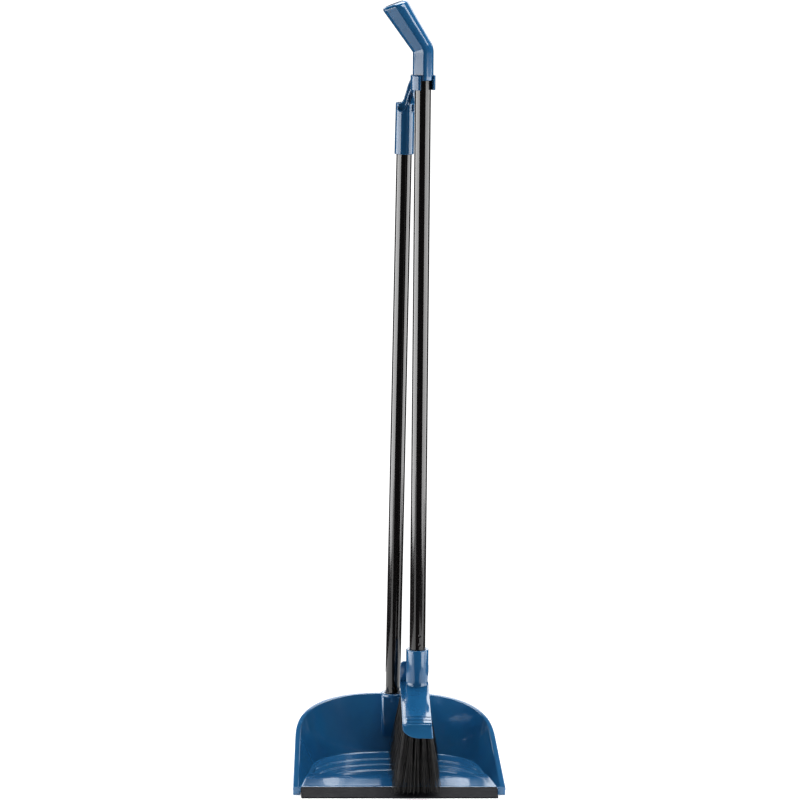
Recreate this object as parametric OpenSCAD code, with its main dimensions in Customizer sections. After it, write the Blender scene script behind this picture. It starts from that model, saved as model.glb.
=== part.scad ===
// Upright dust pan with its brush clipped to the handle.
// The floor is z = 0, the pan opens towards -Y, and the origin is under the middle of the set.

/* [Pan] */
// Width across the front ends of the side walls
pan_w = 249; // [235:1:265]
// Depth from the edge of the rubber lip to the back of the rim
pan_depth = 204; // [200:1:212]
// Height of the rim at its front ends
rim_front_h = 9.8; // [9.6:0.1:12]
// Rise of the rim for each mm that it runs back
rim_slope = 0.344; // [0.33:0.002:0.36]
// Narrowing of each side for each mm that it runs back
side_taper = 0.045; // [0.02:0.005:0.06]
// Lean of the walls, in mm outward for each mm of height
wall_flare = 0.5; // [0.4:0.05:0.55]
// Width of the flange along the rim
flange_w = 6; // [5:0.5:7]
// Depth of the turned-down edge of the flange
skirt_h = 4; // [3.5:0.5:5]
// Thickness of the moulding
pan_t = 2.4; // [2:0.1:2.8]
// Height of the pan floor
floor_h = 7; // [7:0.2:7.4]
// Height of each step in the floor
step_h = 1; // [0.6:0.1:1.3]

/* [Rubber lip] */
// Width of the lip
lip_w = 230; // [220:1:230]
// Depth of the lip
lip_depth = 24; // [20:1:28]
// Thickness of the lip at its front edge
lip_edge_t = 1.6; // [1:0.1:2]

/* [Pan handle] */
// Outer diameter of the pan tube
pan_tube_d = 18.2; // [18:0.1:18.6]
// Wall thickness of both tubes
tube_t = 0.8; // [0.7:0.1:1]
// Lean of the pan tube to the right, in degrees
pan_lean = 0.3; // [0:0.05:0.5]
// Distance of the pan tube behind the lip's edge
pan_tube_y = 188; // [186:0.5:189]
// Height of the top of the handle cap
cap_top = 796; // [790:1:800]
// Length of the handle cap's sleeve
cap_len = 61; // [50:1:70]
// Outer diameter of the cap's sleeve
cap_d = 23; // [22.5:0.1:24]

/* [Clip] */
// Height of the underside of the clip
clip_bottom = 813.5; // [812:0.5:815]
// Height of the clip
clip_h = 17.5; // [17:0.5:19]
// Outer diameter of the clip
clip_d = 29.4; // [29:0.1:31]
// Width of the mouth between the clip's jaws
clip_mouth = 17; // [16:0.5:18]
// Angle of the clip's mouth to the right of straight ahead
clip_turn = 22; // [15:1:30]

/* [Brush handle] */
// Outer diameter of the brush tube
brush_tube_d = 19; // [18.8:0.1:19.2]
// Lean of the brush tube to the left, in degrees
brush_lean = 0.4; // [0:0.05:0.5]
// Distance of the brush tube right of the pan's middle, at its lower end
brush_x = 27.6; // [27:0.1:28.5]
// Distance of the brush tube behind the lip's edge
brush_y = 156; // [154:0.5:157]
// Diameter of the grip's straight part
grip_d = 24.4; // [24:0.1:24.6]
// Diameter of the grip at its end
grip_end_d = 30.2; // [28:0.2:32]
// Bend of the grip to the left, in degrees
grip_bend = 33.5; // [25:0.5:40]
// Length of the grip above its bend
grip_arm = 62; // [50:1:70]

/* [Brush head] */
// Length of the head
head_len = 165.5; // [160:0.5:166]
// Width of the head across its top
head_w = 34.4; // [33.6:0.2:35]
// Thickness of the head
head_t = 18; // [18:0.5:20]
// Tilt of the head, rising towards the handle, in degrees
head_tilt = 3.8; // [3:0.1:4.5]
// Turn of the head about the handle, in degrees
head_turn = -2; // [-3:0.5:0]
// Outer diameter of the ferrule
ferrule_d = 26.9; // [26:0.1:27.5]
// Height of the ferrule's top above the floor
ferrule_top = 141; // [136:1:146]

/* [Bristles] */
// Number of tufts across each row
tufts_across = 5; // [4:5]
// Distance between the tufts of a row
tuft_pitch = 6.9; // [6.6:0.1:7]
// Diameter of a tuft at its root
tuft_d = 4.9; // [4.4:0.1:5]
// Diameter of a tuft at its tip
tuft_tip_d = 8.4; // [7:0.1:8.8]
// Sideways spread of a tuft's tip, as a multiple of its distance from the middle
tuft_spread = 0.55; // [0.4:0.05:0.6]

/* [Hidden] */
$fn = 96;
blue = "steelblue";
black = "dimgray";
eps = 0.01;

// Plan of the pan, measured back from the lip's edge.
wall_start = 14;
arch_start = 110;
rim_arch_n = 2.7;
foot_arch_n = 2.2;
foot_back = pan_depth - flange_w - wall_flare * (rim_h(pan_depth) - floor_h);
side_steps = 4;
arch_steps = 20;
edge_r = 0.8;
flange_edge_t = 1.9;
wall_back = pan_t * sqrt(1 + wall_flare * wall_flare);
floor_lap = 1.5;
floor_bar = 4;
ridge_y = 62;
ridge_end = 90;
ridge_h = 2.8;
step_count = 3;
step_back = 27;
step_run = 20;
step_side = 4;
step_side_run = 6;
steps_from = 60;
steps_full = 100;
rib_t = 2.4;
rib_gap = 44;
rib_short = 20;
tongue_len = 8;
tongue_z = 2;
tongue_t = 1.8;

function rim_h(y) = rim_front_h + rim_slope * (y - wall_start);
function rim_x(y) = pan_w / 2 - side_taper * (y - wall_start);
function foot_x(y) = rim_x(y) - flange_w - wall_flare * (rim_h(y) - floor_h);
function arch_y(a, y0, y_end, n) = y0 + (y_end - y0) * pow(sin(a), 2 / n);
function arch_k(a, n) = a > 89.9 ? 0 : pow(cos(a), 2 / n);
function rim_arch(a) =
    let (y = arch_y(a, arch_start, pan_depth, rim_arch_n)) [rim_x(y) * arch_k(a, rim_arch_n), y];
function foot_arch(a, inset = 0, y_end = foot_back) =
    let (y = arch_y(a, arch_start + y_end - foot_back, y_end, foot_arch_n))
        [(foot_x(y) - inset) * arch_k(a, foot_arch_n), y];
function side_y(i, y0) = y0 + (arch_start - y0) * i / side_steps;
rim_half = concat(
    [for (i = [0:side_steps - 1]) let (y = side_y(i, wall_start)) [rim_x(y), y]],
    [for (i = [0:arch_steps]) rim_arch(90 * i / arch_steps)]);
foot_half = concat(
    [for (i = [0:side_steps - 1]) let (y = side_y(i, wall_start)) [foot_x(y), y]],
    [for (i = [0:arch_steps]) foot_arch(90 * i / arch_steps)]);
function both_sides(half) = concat(half,
    [for (i = [len(half) - 2:-1:0]) [-half[i][0], half[i][1]]]);
rim_line = both_sides(rim_half);
foot_line = both_sides(foot_half);

// Section of the wall and flange: distance in from the rim, and height.
function wall_section(h, reach) = [
    [edge_r, h],
    [0, h - edge_r],
    [0, h - skirt_h],
    [flange_edge_t, h - skirt_h],
    [flange_edge_t, h - pan_t],
    [flange_w - wall_back, h - pan_t],
    [reach - wall_back, floor_h],
    [reach - wall_back, 0],
    [reach - wall_back + pan_t, 0],
    [reach - wall_back + pan_t, floor_h - pan_t],
    [reach + floor_lap, floor_h - pan_t],
    [reach + floor_lap, floor_h],
    [reach, floor_h],
    [flange_w, h]];
function wall_points(i) =
    let (r = rim_line[i], run = foot_line[i] - r, reach = norm(run), way = run / reach)
    [for (s = wall_section(rim_h(r[1]), reach)) [r[0] + way[0] * s[0], r[1] + way[1] * s[0], s[1]]];

// Socket for the pan tube.
boss_w = 28;
boss_back = 13.5;
boss_bottom = 20;
boss_top = 76;
boss_corner = 4;
collar_d = 28.6;
collar_top = 79;
bore_gap = 0.1;
socket_floor = 27;
pan_plug_top = 95;

// Handle cap and clip.
cap_top_d = 22.4;
cap_roof = 3;
pan_tube_top = cap_top - 11;
clip_fit = 0.3;
clip_seat = 11;
arm_t = 7.5;
arm_side = [[-0.2, -0.8], [-0.2, -0.1], [0, 0.06], [0.1, 0.26], [0.31, 0.8], [0.52, 1.34], [0.68, 1.6],
    [0.88, 1.89], [1, 1.96], [1.13, 1.96], [1.13, 0], [0.87, 0.9], [0.64, 0.45], [0.5, 0], [0.42, -0.8]];
web_t = 3;
web_offset = 0.5;
web_side = [[0.42, -0.06], [0.42, 1], [1.65, 1.17], [1.18, 0.11]];
pocket_w = 8;
pocket_h = 10.5;

// Punched dimples, which lock each tube to the plug inside it.
dimple_d = 2.6;
dimple_depth = 0.5;
pan_dimple_z = 86.4;
brush_dimple_z = [148, 159];
brush_dimple_side = 12;

// Brush handle.
brush_foot = 80;
brush_tube_bottom = 112;
brush_tube_top = 852;
brush_plug_top = 168;
stud_d = 14;
stud_bottom = 98.5;
ferrule_bottom = 94;
grip_bottom = clip_bottom + clip_seat + clip_fit;
bend_z = 857;
bend_r = grip_d / 2 + 1;
bend_step = 0.02;
end_cut = 21;
end_drop = 3;

// Brush head, measured from the tube's axis in the head's own frame.
head_heel = 15.5;
head_shift = -3.4;
head_flare = 2;
head_round_x = 19.6;
head_round_z = 14.5;
arc_points = 10;
head_square = 2;
rim_line_w = 1.3;
strip_w = 3;
strip_depth = 1.5;
groove_w = 2.4;
groove_depth = 1.1;
groove_run = 11;
groove_first = 2;
groove_count = 3;
shield_t = 3.2;
shield_h = 42;
shield_r = 6;

// Tufts.
tuft_rows = 14;
row_first = -144;
row_last = 8;
tuft_shift = 0.7;
hole_d = 5;
hole_gap = 0.5;
hole_top = 13;
tuft_len = 78;
bristle_len = 64;
toe_reach = 6;
tuft_overlap = 1.2;
tip_gap = 0.6;
heel_clear = 155;
anchor_size = [4.2, 0.4, 1.8];

function row_y(i) = row_first + (row_last - row_first) * i / (tuft_rows - 1);
function tuft_x(j) = tuft_shift + (j - (tufts_across - 1) / 2) * tuft_pitch;
// Height of the head's rounded underside at a distance across it.
function under_z(x) =
    x > head_square ? 0 : head_round_z * (1 - sqrt(1 - pow((head_square - x) / head_round_x, 2)));

module from_lip() {
    translate([0, -pan_depth / 2, 0]) children();
}

module on_pan_tube() {
    from_lip() translate([0, pan_tube_y, collar_top]) rotate([0, pan_lean, 0])
        translate([0, 0, -collar_top]) children();
}

module on_brush_tube() {
    from_lip() translate([brush_x, brush_y, brush_foot]) rotate([0, -brush_lean, 0])
        translate([0, 0, -brush_foot]) children();
}

module on_head() {
    from_lip() translate([brush_x, brush_y, brush_foot]) rotate([head_tilt, 0, 0])
        rotate([0, 0, head_turn]) translate([head_shift, 0, 0]) children();
}

// ---- Pan ----

module wall_sweep() {
    m = len(wall_section(rim_front_h, flange_w));
    last = len(rim_line) - 1;
    points = [for (i = [0:last]) each wall_points(i)];
    sides = [for (i = [0:last - 1]) for (j = [0:m - 1])
        let (a = i * m + j, b = i * m + (j + 1) % m) each [[a, b + m, b], [a, a + m, b + m]]];
    front_end = [[for (j = [0:m - 1]) j]];
    other_end = [[for (j = [m - 1:-1:0]) last * m + j]];
    polyhedron(points, concat(front_end, sides, other_end), convexity = 8);
}

// Plan of the floor: whole, or only the part that lies inside step k, counted from the middle.
module floor_plan(k) {
    out = step_count - k;
    y_end = foot_back - (k == 0 ? 0 : step_back + step_run * out);
    inset = k == 0 ? 0 : step_side + step_side_run * out;
    half = concat([[foot_x(lip_depth) - inset, lip_depth]],
        [for (i = [0:arch_steps]) foot_arch(90 * i / arch_steps, inset, y_end)]);
    polygon(both_sides(half));
}

module across(outline) {
    translate([-pan_w / 2, 0, 0]) rotate([90, 0, 90]) linear_extrude(pan_w) polygon(outline);
}

// Floor surface lowered by drop: a ridge behind the lip, then steps that rise to the back wall.
module floor_mass(drop, under) {
    top = floor_h - drop;
    crest = top + step_count * step_h;
    translate([0, 0, -under]) linear_extrude(under + top) floor_plan(0);
    intersection() {
        translate([0, 0, -under]) linear_extrude(under + top + ridge_h) floor_plan(0);
        across([[lip_depth, -under], [lip_depth, top], [ridge_y, top + ridge_h], [ridge_end, top],
            [ridge_end, -under]]);
    }
    intersection() {
        for (k = [1:step_count])
            translate([0, 0, -under]) linear_extrude(under + top + k * step_h) difference() {
                floor_plan(0);
                floor_plan(k);
            }
        across([[steps_from, -under - 1], [steps_from, top], [steps_full, crest], [pan_depth, crest],
            [pan_depth, -under - 1]]);
    }
}

module socket_block() {
    w = boss_w / 2 - boss_corner;
    back = boss_back - boss_corner;
    translate([0, 0, boss_bottom]) linear_extrude(boss_top - boss_bottom) union() {
        translate([-w, -boss_w / 2]) square([2 * w, boss_w / 2 + boss_back]);
        translate([-boss_w / 2, -w]) square([boss_w, w + back]);
        for (x = [-w, w]) for (y = [-w, back]) translate([x, y]) circle(boss_corner);
    }
    cylinder(d = collar_d, h = collar_top);
}

module pan_ribs() {
    for (x = [-2:2])
        translate([x * rib_gap - rib_t / 2, lip_depth + 1, 0])
            cube([rib_t, foot_back - lip_depth - abs(x) * rib_short - floor_bar, floor_h - pan_t + eps]);
    translate([-foot_x(lip_depth), lip_depth, 0])
        cube([2 * foot_x(lip_depth), floor_bar, floor_h - pan_t / 2]);
    translate([-lip_w / 2 + 1, lip_depth - tongue_len, tongue_z])
        cube([lip_w - 2, tongue_len + 1, tongue_t]);
}

module pan_shell() {
    color(blue) difference() {
        union() {
            difference() {
                from_lip() wall_sweep();
                from_lip() translate([-lip_w / 2 - bore_gap, 0, -1])
                    cube([lip_w + 2 * bore_gap, lip_depth, floor_h + 1]);
            }
            from_lip() difference() {
                floor_mass(0, 0);
                floor_mass(pan_t, floor_h);
            }
            from_lip() pan_ribs();
            intersection() {
                on_pan_tube() socket_block();
                from_lip() translate([-boss_w, pan_tube_y - boss_w, boss_bottom])
                    cube([2 * boss_w, 2 * boss_w, collar_top]);
            }
        }
        on_pan_tube() translate([0, 0, socket_floor])
            cylinder(d = pan_tube_d + 2 * bore_gap, h = collar_top);
    }
}

module rubber_lip() {
    slot_top = tongue_z + tongue_t;
    slot_y = lip_depth - tongue_len;
    color(black) from_lip() translate([-lip_w / 2, 0, 0]) rotate([90, 0, 90]) linear_extrude(lip_w)
        polygon([[0, 0], [lip_depth, 0], [lip_depth, tongue_z], [slot_y, tongue_z],
            [slot_y, slot_top], [lip_depth, slot_top], [lip_depth, floor_h], [0, lip_edge_t]]);
}

// ---- Handles ----

// A round tube between two heights, pressed in by a ball at each [angle, height].
module dimpled_tube(d, bottom, top, dimples) {
    ball_r = (dimple_d * dimple_d / 4 + dimple_depth * dimple_depth) / (2 * dimple_depth);
    difference() {
        translate([0, 0, bottom]) cylinder(d = d, h = top - bottom);
        translate([0, 0, bottom - 1]) cylinder(d = d - 2 * tube_t, h = top - bottom + 2);
        for (p = dimples)
            rotate([0, 0, p[0]]) translate([0, dimple_depth - d / 2 - ball_r, p[1]]) sphere(r = ball_r);
    }
}

module pan_tube() {
    color(black) on_pan_tube()
        dimpled_tube(pan_tube_d, socket_floor, pan_tube_top, [[0, pan_dimple_z]]);
}

module pan_tube_plug() {
    color("gray") on_pan_tube() translate([0, 0, socket_floor])
        cylinder(d = pan_tube_d - 2 * tube_t, h = pan_plug_top - socket_floor);
}

module brush_tube() {
    a = brush_dimple_side;
    color(black) on_brush_tube()
        dimpled_tube(brush_tube_d, brush_tube_bottom, brush_tube_top,
            [[a, brush_dimple_z[0]], [a, brush_dimple_z[1]], [-90, brush_dimple_z[1]]]);
}

module brush_tube_plug() {
    color("gray") on_brush_tube() {
        translate([0, 0, brush_tube_bottom])
            cylinder(d = brush_tube_d - 2 * tube_t, h = brush_plug_top - brush_tube_bottom);
        translate([0, 0, stud_bottom]) cylinder(d = stud_d, h = brush_tube_bottom - stud_bottom);
    }
}

// A plate in the plane through both tubes. Its outline is given as shares of the reach and the rise.
module side_plate(outline, reach, t) {
    rise = clip_bottom - cap_top;
    rotate([90, 0, 0]) translate([0, 0, -t / 2]) linear_extrude(t)
        polygon([for (p = outline) [p[0] * reach, cap_top + p[1] * rise]]);
}

module handle_cap() {
    cap_x = (cap_top - collar_top) * sin(pan_lean);
    clip_x = brush_x - (clip_bottom - brush_foot) * sin(brush_lean);
    run = [clip_x - cap_x, brush_y - pan_tube_y];
    reach = norm(run) - clip_d / 2;
    color(blue) difference() {
        union() {
            on_pan_tube() translate([0, 0, cap_top - cap_len])
                cylinder(d1 = cap_d, d2 = cap_top_d, h = cap_len);
            from_lip() translate([cap_x, pan_tube_y, 0]) rotate([0, 0, atan2(run[1], run[0])]) {
                side_plate(arm_side, reach, arm_t);
                translate([0, web_offset, 0]) side_plate(web_side, reach, web_t);
            }
            on_brush_tube() translate([0, 0, clip_bottom]) cylinder(d = clip_d, h = clip_h);
        }
        on_pan_tube() translate([0, 0, cap_top - cap_len - 1])
            cylinder(d = pan_tube_d + 2 * bore_gap, h = pan_tube_top - cap_top + cap_len + 1);
        on_pan_tube() translate([0, 0, pan_tube_top - eps])
            cylinder(d = pan_tube_d - 2 * tube_t, h = cap_top - cap_roof - pan_tube_top);
        on_pan_tube() translate([cap_d / 2 - pocket_w / 2, -cap_d / 2, cap_top - pocket_h])
            cube([pocket_w, cap_d / 2, pocket_h - cap_roof + 1]);
        on_brush_tube() translate([0, 0, clip_bottom - cap_len])
            cylinder(d = brush_tube_d + 2 * clip_fit, h = cap_len + clip_h + 1);
        on_brush_tube() translate([0, 0, clip_bottom + clip_seat])
            cylinder(d = grip_d + 2 * clip_fit, h = clip_h);
        on_brush_tube() rotate([0, 0, clip_turn]) translate([-clip_mouth / 2, -clip_d, clip_bottom - clip_h])
            cube([clip_mouth, clip_d, 3 * clip_h]);
    }
}

module brush_grip() {
    r = grip_d / 2;
    color(blue) on_brush_tube() difference() {
        union() {
            translate([0, 0, grip_bottom]) cylinder(r = r, h = bend_z - grip_bottom);
            translate([-bend_r, 0, bend_z]) rotate([90, 0, 0]) rotate_extrude(angle = grip_bend)
                translate([bend_r, 0]) circle(r);
            translate([-bend_r, 0, bend_z]) rotate([0, -grip_bend, 0]) translate([bend_r, 0, 0])
                cylinder(r1 = r - bend_step, r2 = grip_end_d / 2, h = grip_arm);
        }
        translate([-bend_r, 0, bend_z]) rotate([0, -grip_bend, 0]) translate([bend_r, 0, grip_arm - end_drop])
            rotate([0, grip_bend - end_cut, 0]) translate([-grip_end_d, -grip_end_d, 0])
                cube([2 * grip_end_d, 2 * grip_end_d, grip_arm]);
        translate([0, 0, grip_bottom - 1])
            cylinder(d = brush_tube_d + 2 * bore_gap, h = brush_tube_top - grip_bottom + 1);
    }
}

// ---- Brush head ----

module head_section() {
    w = head_w / 2;
    arc_end = acos((w + head_square) / head_round_x);
    polygon(concat([[w + head_flare, 0], [w, head_t], [-w, head_t]],
        [for (i = [0:arc_points]) let (a = 180 + arc_end + (90 - arc_end) * i / arc_points)
            [head_square + head_round_x * cos(a), head_round_z * (1 + sin(a))]]));
}

module head_block() {
    left = -head_w / 2 + rim_line_w;
    toe = head_heel - head_len;
    difference() {
        translate([0, head_heel, 0]) rotate([90, 0, 0]) linear_extrude(head_len) head_section();
        translate([left, toe - 1, head_t - strip_depth]) cube([strip_w, head_len - shield_t, head_t]);
        for (k = [0:groove_count - 1])
            translate([left + strip_w, toe + groove_first + groove_run * k, head_t - groove_depth])
                cube([head_w, groove_w, head_t]);
    }
}

module shield() {
    w = head_w / 2 - shield_r;
    translate([0, head_heel, 0]) rotate([90, 0, 0]) linear_extrude(shield_t) union() {
        translate([-head_w / 2, head_t / 2]) square([head_w, shield_h - shield_r - head_t / 2]);
        translate([-w, head_t / 2]) square([2 * w, shield_h - head_t / 2]);
        for (x = [-w, w]) translate([x, shield_h - shield_r]) circle(shield_r);
    }
}

module brush_head() {
    color(blue) difference() {
        union() {
            on_head() head_block();
            on_head() shield();
            on_brush_tube() translate([0, 0, ferrule_bottom])
                cylinder(d = ferrule_d, h = ferrule_top - ferrule_bottom);
        }
        on_brush_tube() translate([0, 0, brush_tube_bottom])
            cylinder(d = brush_tube_d + 2 * bore_gap, h = ferrule_top);
        on_brush_tube() translate([0, 0, stud_bottom - hole_gap])
            cylinder(d = stud_d + 2 * bore_gap, h = ferrule_top);
        on_head() for (i = [0:tuft_rows - 1]) for (j = [0:tufts_across - 1])
            translate([tuft_x(j), row_y(i), -1]) cylinder(d = hole_d, h = hole_top + 1, $fn = 32);
    }
}

module tuft_anchors() {
    color("silver") on_head() for (i = [0:tuft_rows - 1]) for (j = [0:tufts_across - 1])
        translate([tuft_x(j) - anchor_size[0] / 2, row_y(i) - anchor_size[1] / 2, hole_top - anchor_size[2]])
            cube(anchor_size);
}

// The bristles in one hole: upright in the hole, then fanning out and leaning away from the middle.
module tuft(x, y) {
    exit_z = under_z(x + tuft_d / 4);
    lean_x = atan(tuft_spread * (x - tuft_shift) / bristle_len);
    lean_y = atan(toe_reach * max(0, 2 * y / row_first - 1) / bristle_len);
    translate([x, y, exit_z]) {
        cylinder(d = tuft_d, h = hole_top - anchor_size[2] - exit_z, $fn = 24);
        translate([0, 0, tuft_overlap]) rotate([180 - lean_y, 0, 0]) rotate([0, lean_x, 0])
            cylinder(d1 = tuft_d - tuft_overlap / 2, d2 = tuft_tip_d, h = tuft_len + exit_z, $fn = 24);
    }
}

// Everything above the pan's floor and ahead of its back wall, where the bristles can reach.
module above_tips() {
    crest = floor_h + step_count * step_h;
    wall_top = heel_clear + wall_flare * brush_foot;
    from_lip() translate([0, 0, tip_gap])
        across([[-lip_depth, lip_edge_t], [0, lip_edge_t], [lip_depth, floor_h], [ridge_y, crest],
            [heel_clear, crest], [wall_top, crest + brush_foot], [wall_top, brush_tube_bottom],
            [-lip_depth, brush_tube_bottom]]);
}

module tuft_row(i) {
    color("darkslategray") intersection() {
        on_head() for (j = [0:tufts_across - 1]) tuft(tuft_x(j), row_y(i));
        above_tips();
    }
}

pan_shell();
rubber_lip();
pan_tube();
pan_tube_plug();
handle_cap();
brush_tube();
brush_grip();
brush_tube_plug();
brush_head();
tuft_anchors();
tuft_row(0);  // tuft_row_01
tuft_row(1);  // tuft_row_02
tuft_row(2);  // tuft_row_03
tuft_row(3);  // tuft_row_04
tuft_row(4);  // tuft_row_05
tuft_row(5);  // tuft_row_06
tuft_row(6);  // tuft_row_07
tuft_row(7);  // tuft_row_08
tuft_row(8);  // tuft_row_09
tuft_row(9);  // tuft_row_10
tuft_row(10);  // tuft_row_11
tuft_row(11);  // tuft_row_12
tuft_row(12);  // tuft_row_13
tuft_row(13);  // tuft_row_14
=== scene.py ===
"""Looks of the dust pan and brush set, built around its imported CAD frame."""

import math
import random

import bmesh
import bpy
import numpy as np
from mathutils import Matrix, Vector


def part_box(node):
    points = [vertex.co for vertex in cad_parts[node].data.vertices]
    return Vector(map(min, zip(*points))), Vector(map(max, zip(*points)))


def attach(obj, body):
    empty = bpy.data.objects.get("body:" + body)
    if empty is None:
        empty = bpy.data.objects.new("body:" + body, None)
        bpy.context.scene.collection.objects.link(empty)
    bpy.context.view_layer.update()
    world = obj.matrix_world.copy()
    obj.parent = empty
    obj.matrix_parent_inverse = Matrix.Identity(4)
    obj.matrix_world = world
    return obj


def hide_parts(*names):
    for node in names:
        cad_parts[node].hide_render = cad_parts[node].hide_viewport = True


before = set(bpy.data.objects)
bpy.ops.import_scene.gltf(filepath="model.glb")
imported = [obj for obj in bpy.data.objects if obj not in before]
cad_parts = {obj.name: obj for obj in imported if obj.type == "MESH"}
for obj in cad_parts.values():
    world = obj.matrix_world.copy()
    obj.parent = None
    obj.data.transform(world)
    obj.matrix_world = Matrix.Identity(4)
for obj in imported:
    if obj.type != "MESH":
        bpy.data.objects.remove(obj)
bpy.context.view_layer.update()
MM = 0.001

# ---- Where the CAD puts things, in millimetres. Y is measured back from the lip's front edge. ----


def node_box(node):
    low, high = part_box(node)
    return np.array(low) / MM, np.array(high) / MM


LIP_LOW, LIP_HIGH = node_box("rubber_lip")
_, PAN_HIGH = node_box("pan_shell")
LIP_Y = LIP_LOW[1]
LIP_DEPTH = LIP_HIGH[1] - LIP_LOW[1]
FLOOR_H = LIP_HIGH[2]
PAN_DEPTH = PAN_HIGH[1] - LIP_Y
PAN_HALF = PAN_HIGH[0]

# The pan's walls and rim
WALL_START = 14
ARCH_START = 110
RIM_FRONT_H = 9.8
RIM_SLOPE = 0.344
SIDE_TAPER = 0.045
WALL_FLARE = 0.5
FLANGE_W = 6
SKIRT_H = 4
PAN_T = 2.4
RIM_ARCH_N = 2.7
FOOT_ARCH_N = 2.2

# The pan's floor: a bead at its front edge, a low ridge across it, and arched steps behind and beside
RIDGE_Y = 62
RIDGE_END = 90
RIDGE_H = 2.25
STEP_COUNT = 3
STEP_H = 1.0
STEP_BACK = 27
STEP_RUN = 20
STEP_SIDE = 4
STEP_SIDE_RUN = 6
STEPS_FROM = 60
STEPS_FULL = 100
BEAD_H = 0.35
BEAD_W = 1.5

# The rubber lip
LIP_EDGE_T = 1.6
LIP_SLOT_DEPTH = 8
LIP_SLOT_LOW, LIP_SLOT_HIGH = 2.0, 3.8

# The two handles and the head
PAN_TUBE_Y = 188
PAN_LEAN = math.radians(0.3)
COLLAR_TOP = 79
BRUSH_X = 27.6
BRUSH_Y = 156
BRUSH_FOOT = 80
BRUSH_LEAN = math.radians(0.4)
HEAD_TILT = math.radians(3.8)
HEAD_TURN = math.radians(-2)
HEAD_SHIFT = -3.4
PAN_TUBE_D = 18.2
BRUSH_TUBE_D = 19.0
PAN_TUBE_ENDS = (27.0, 785.0)
BRUSH_TUBE_ENDS = (112.0, 852.0)
TUBE_WALL = 0.8


def row_point(p):
    """A point measured from the lip's edge in millimetres, in the row frame in metres."""
    return Vector((p[0], p[1] + LIP_Y, p[2])) * MM


FROM_LIP = Matrix.Translation((0, LIP_Y * MM, 0)) @ Matrix.Scale(MM, 4)
ON_PAN_TUBE = (
    FROM_LIP
    @ Matrix.Translation((0, PAN_TUBE_Y, COLLAR_TOP))
    @ Matrix.Rotation(PAN_LEAN, 4, "Y")
    @ Matrix.Translation((0, 0, -COLLAR_TOP))
)
ON_BRUSH_TUBE = (
    FROM_LIP
    @ Matrix.Translation((BRUSH_X, BRUSH_Y, BRUSH_FOOT))
    @ Matrix.Rotation(-BRUSH_LEAN, 4, "Y")
    @ Matrix.Translation((0, 0, -BRUSH_FOOT))
)
ON_HEAD = (
    FROM_LIP
    @ Matrix.Translation((BRUSH_X, BRUSH_Y, BRUSH_FOOT))
    @ Matrix.Rotation(HEAD_TILT, 4, "X")
    @ Matrix.Rotation(HEAD_TURN, 4, "Z")
    @ Matrix.Translation((HEAD_SHIFT, 0, 0))
)

# ---- Mesh tools ----

X_AXIS = np.array([1.0, 0, 0])
Y_AXIS = np.array([0, 1.0, 0])


def circle(steps):
    return [2 * math.pi * j / steps for j in range(steps)]


class Shape:
    """Vertices and faces gathered for one piece, in the row frame in metres."""

    def __init__(self):
        self.verts = []
        self.faces = []

    def add(self, points, faces, place):
        base = len(self.verts)
        self.verts += [place @ Vector(p) for p in points]
        self.faces += [[base + i for i in f] for f in faces]

    def loft(self, rings, place, joined=False, skip=None):
        """Skins equal rings of points, in order.

        joined closes the last ring onto the first, and skip(ring, side) says which faces are left out.
        """
        n = len(rings[0])
        points = [p for ring in rings for p in ring]
        faces = []
        spans = len(rings) if joined else len(rings) - 1
        for r in range(spans):
            a, b = r * n, ((r + 1) % len(rings)) * n
            for j in range(n):
                k = (j + 1) % n
                if skip is None or not skip(r, j):
                    faces.append([a + j, a + k, b + k, b + j])
        if not joined:
            faces.append(list(range(n - 1, -1, -1)))
            faces.append([(len(rings) - 1) * n + j for j in range(n)])
        self.add(points, faces, place)

    def lathe(self, profile, place, steps=96, solid=True):
        """Turns a profile of [radius, height] about Z; when not solid, the profile is a closed loop."""
        rings = [[(r * math.cos(t), r * math.sin(t), z) for t in circle(steps)] for r, z in profile]
        self.loft(rings, place, joined=not solid)

    def mesh(self, name):
        mesh = bpy.data.meshes.new(name)
        mesh.from_pydata([tuple(v) for v in self.verts], [], self.faces)
        b = bmesh.new()
        b.from_mesh(mesh)
        bmesh.ops.remove_doubles(b, verts=b.verts, dist=2e-7)
        bmesh.ops.recalc_face_normals(b, faces=b.faces)
        b.to_mesh(mesh)
        b.free()
        mesh.update()
        return mesh

    def build(self, name, sharp=35):
        return finish_object(name, self.mesh(name), sharp)


def finish_object(name, mesh, sharp):
    for polygon in mesh.polygons:
        polygon.use_smooth = True
    mesh.set_sharp_from_angle(angle=math.radians(sharp))
    piece = bpy.data.objects.new(name, mesh)
    bpy.context.scene.collection.objects.link(piece)
    return piece


def round_corner(before, corner, after, radius, steps=5, room=0.45):
    """Points of an arc that rounds a corner of an outline. room is the share of each side it may use."""
    p, c, q = (np.array(v, float) for v in (before, corner, after))
    u, v = p - c, q - c
    lu, lv = np.linalg.norm(u), np.linalg.norm(v)
    u, v = u / lu, v / lv
    half = math.acos(max(-1, min(1, float(u @ v)))) / 2
    if half > math.pi / 2 - 0.01:
        return [tuple(c)] * (steps + 1)
    reach = min(radius / math.tan(half), room * lu, room * lv)
    r = reach * math.tan(half)
    middle = c + (u + v) / np.linalg.norm(u + v) * math.hypot(reach, r)
    start, end = c + u * reach - middle, c + v * reach - middle
    span = math.acos(max(-1, min(1, float(start @ end) / (r * r))))
    out = []
    for i in range(steps + 1):
        t = i / steps
        w0, w1 = math.sin((1 - t) * span), math.sin(t * span)
        out.append(tuple(middle + (start * w0 + end * w1) / math.sin(span)))
    return out


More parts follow.
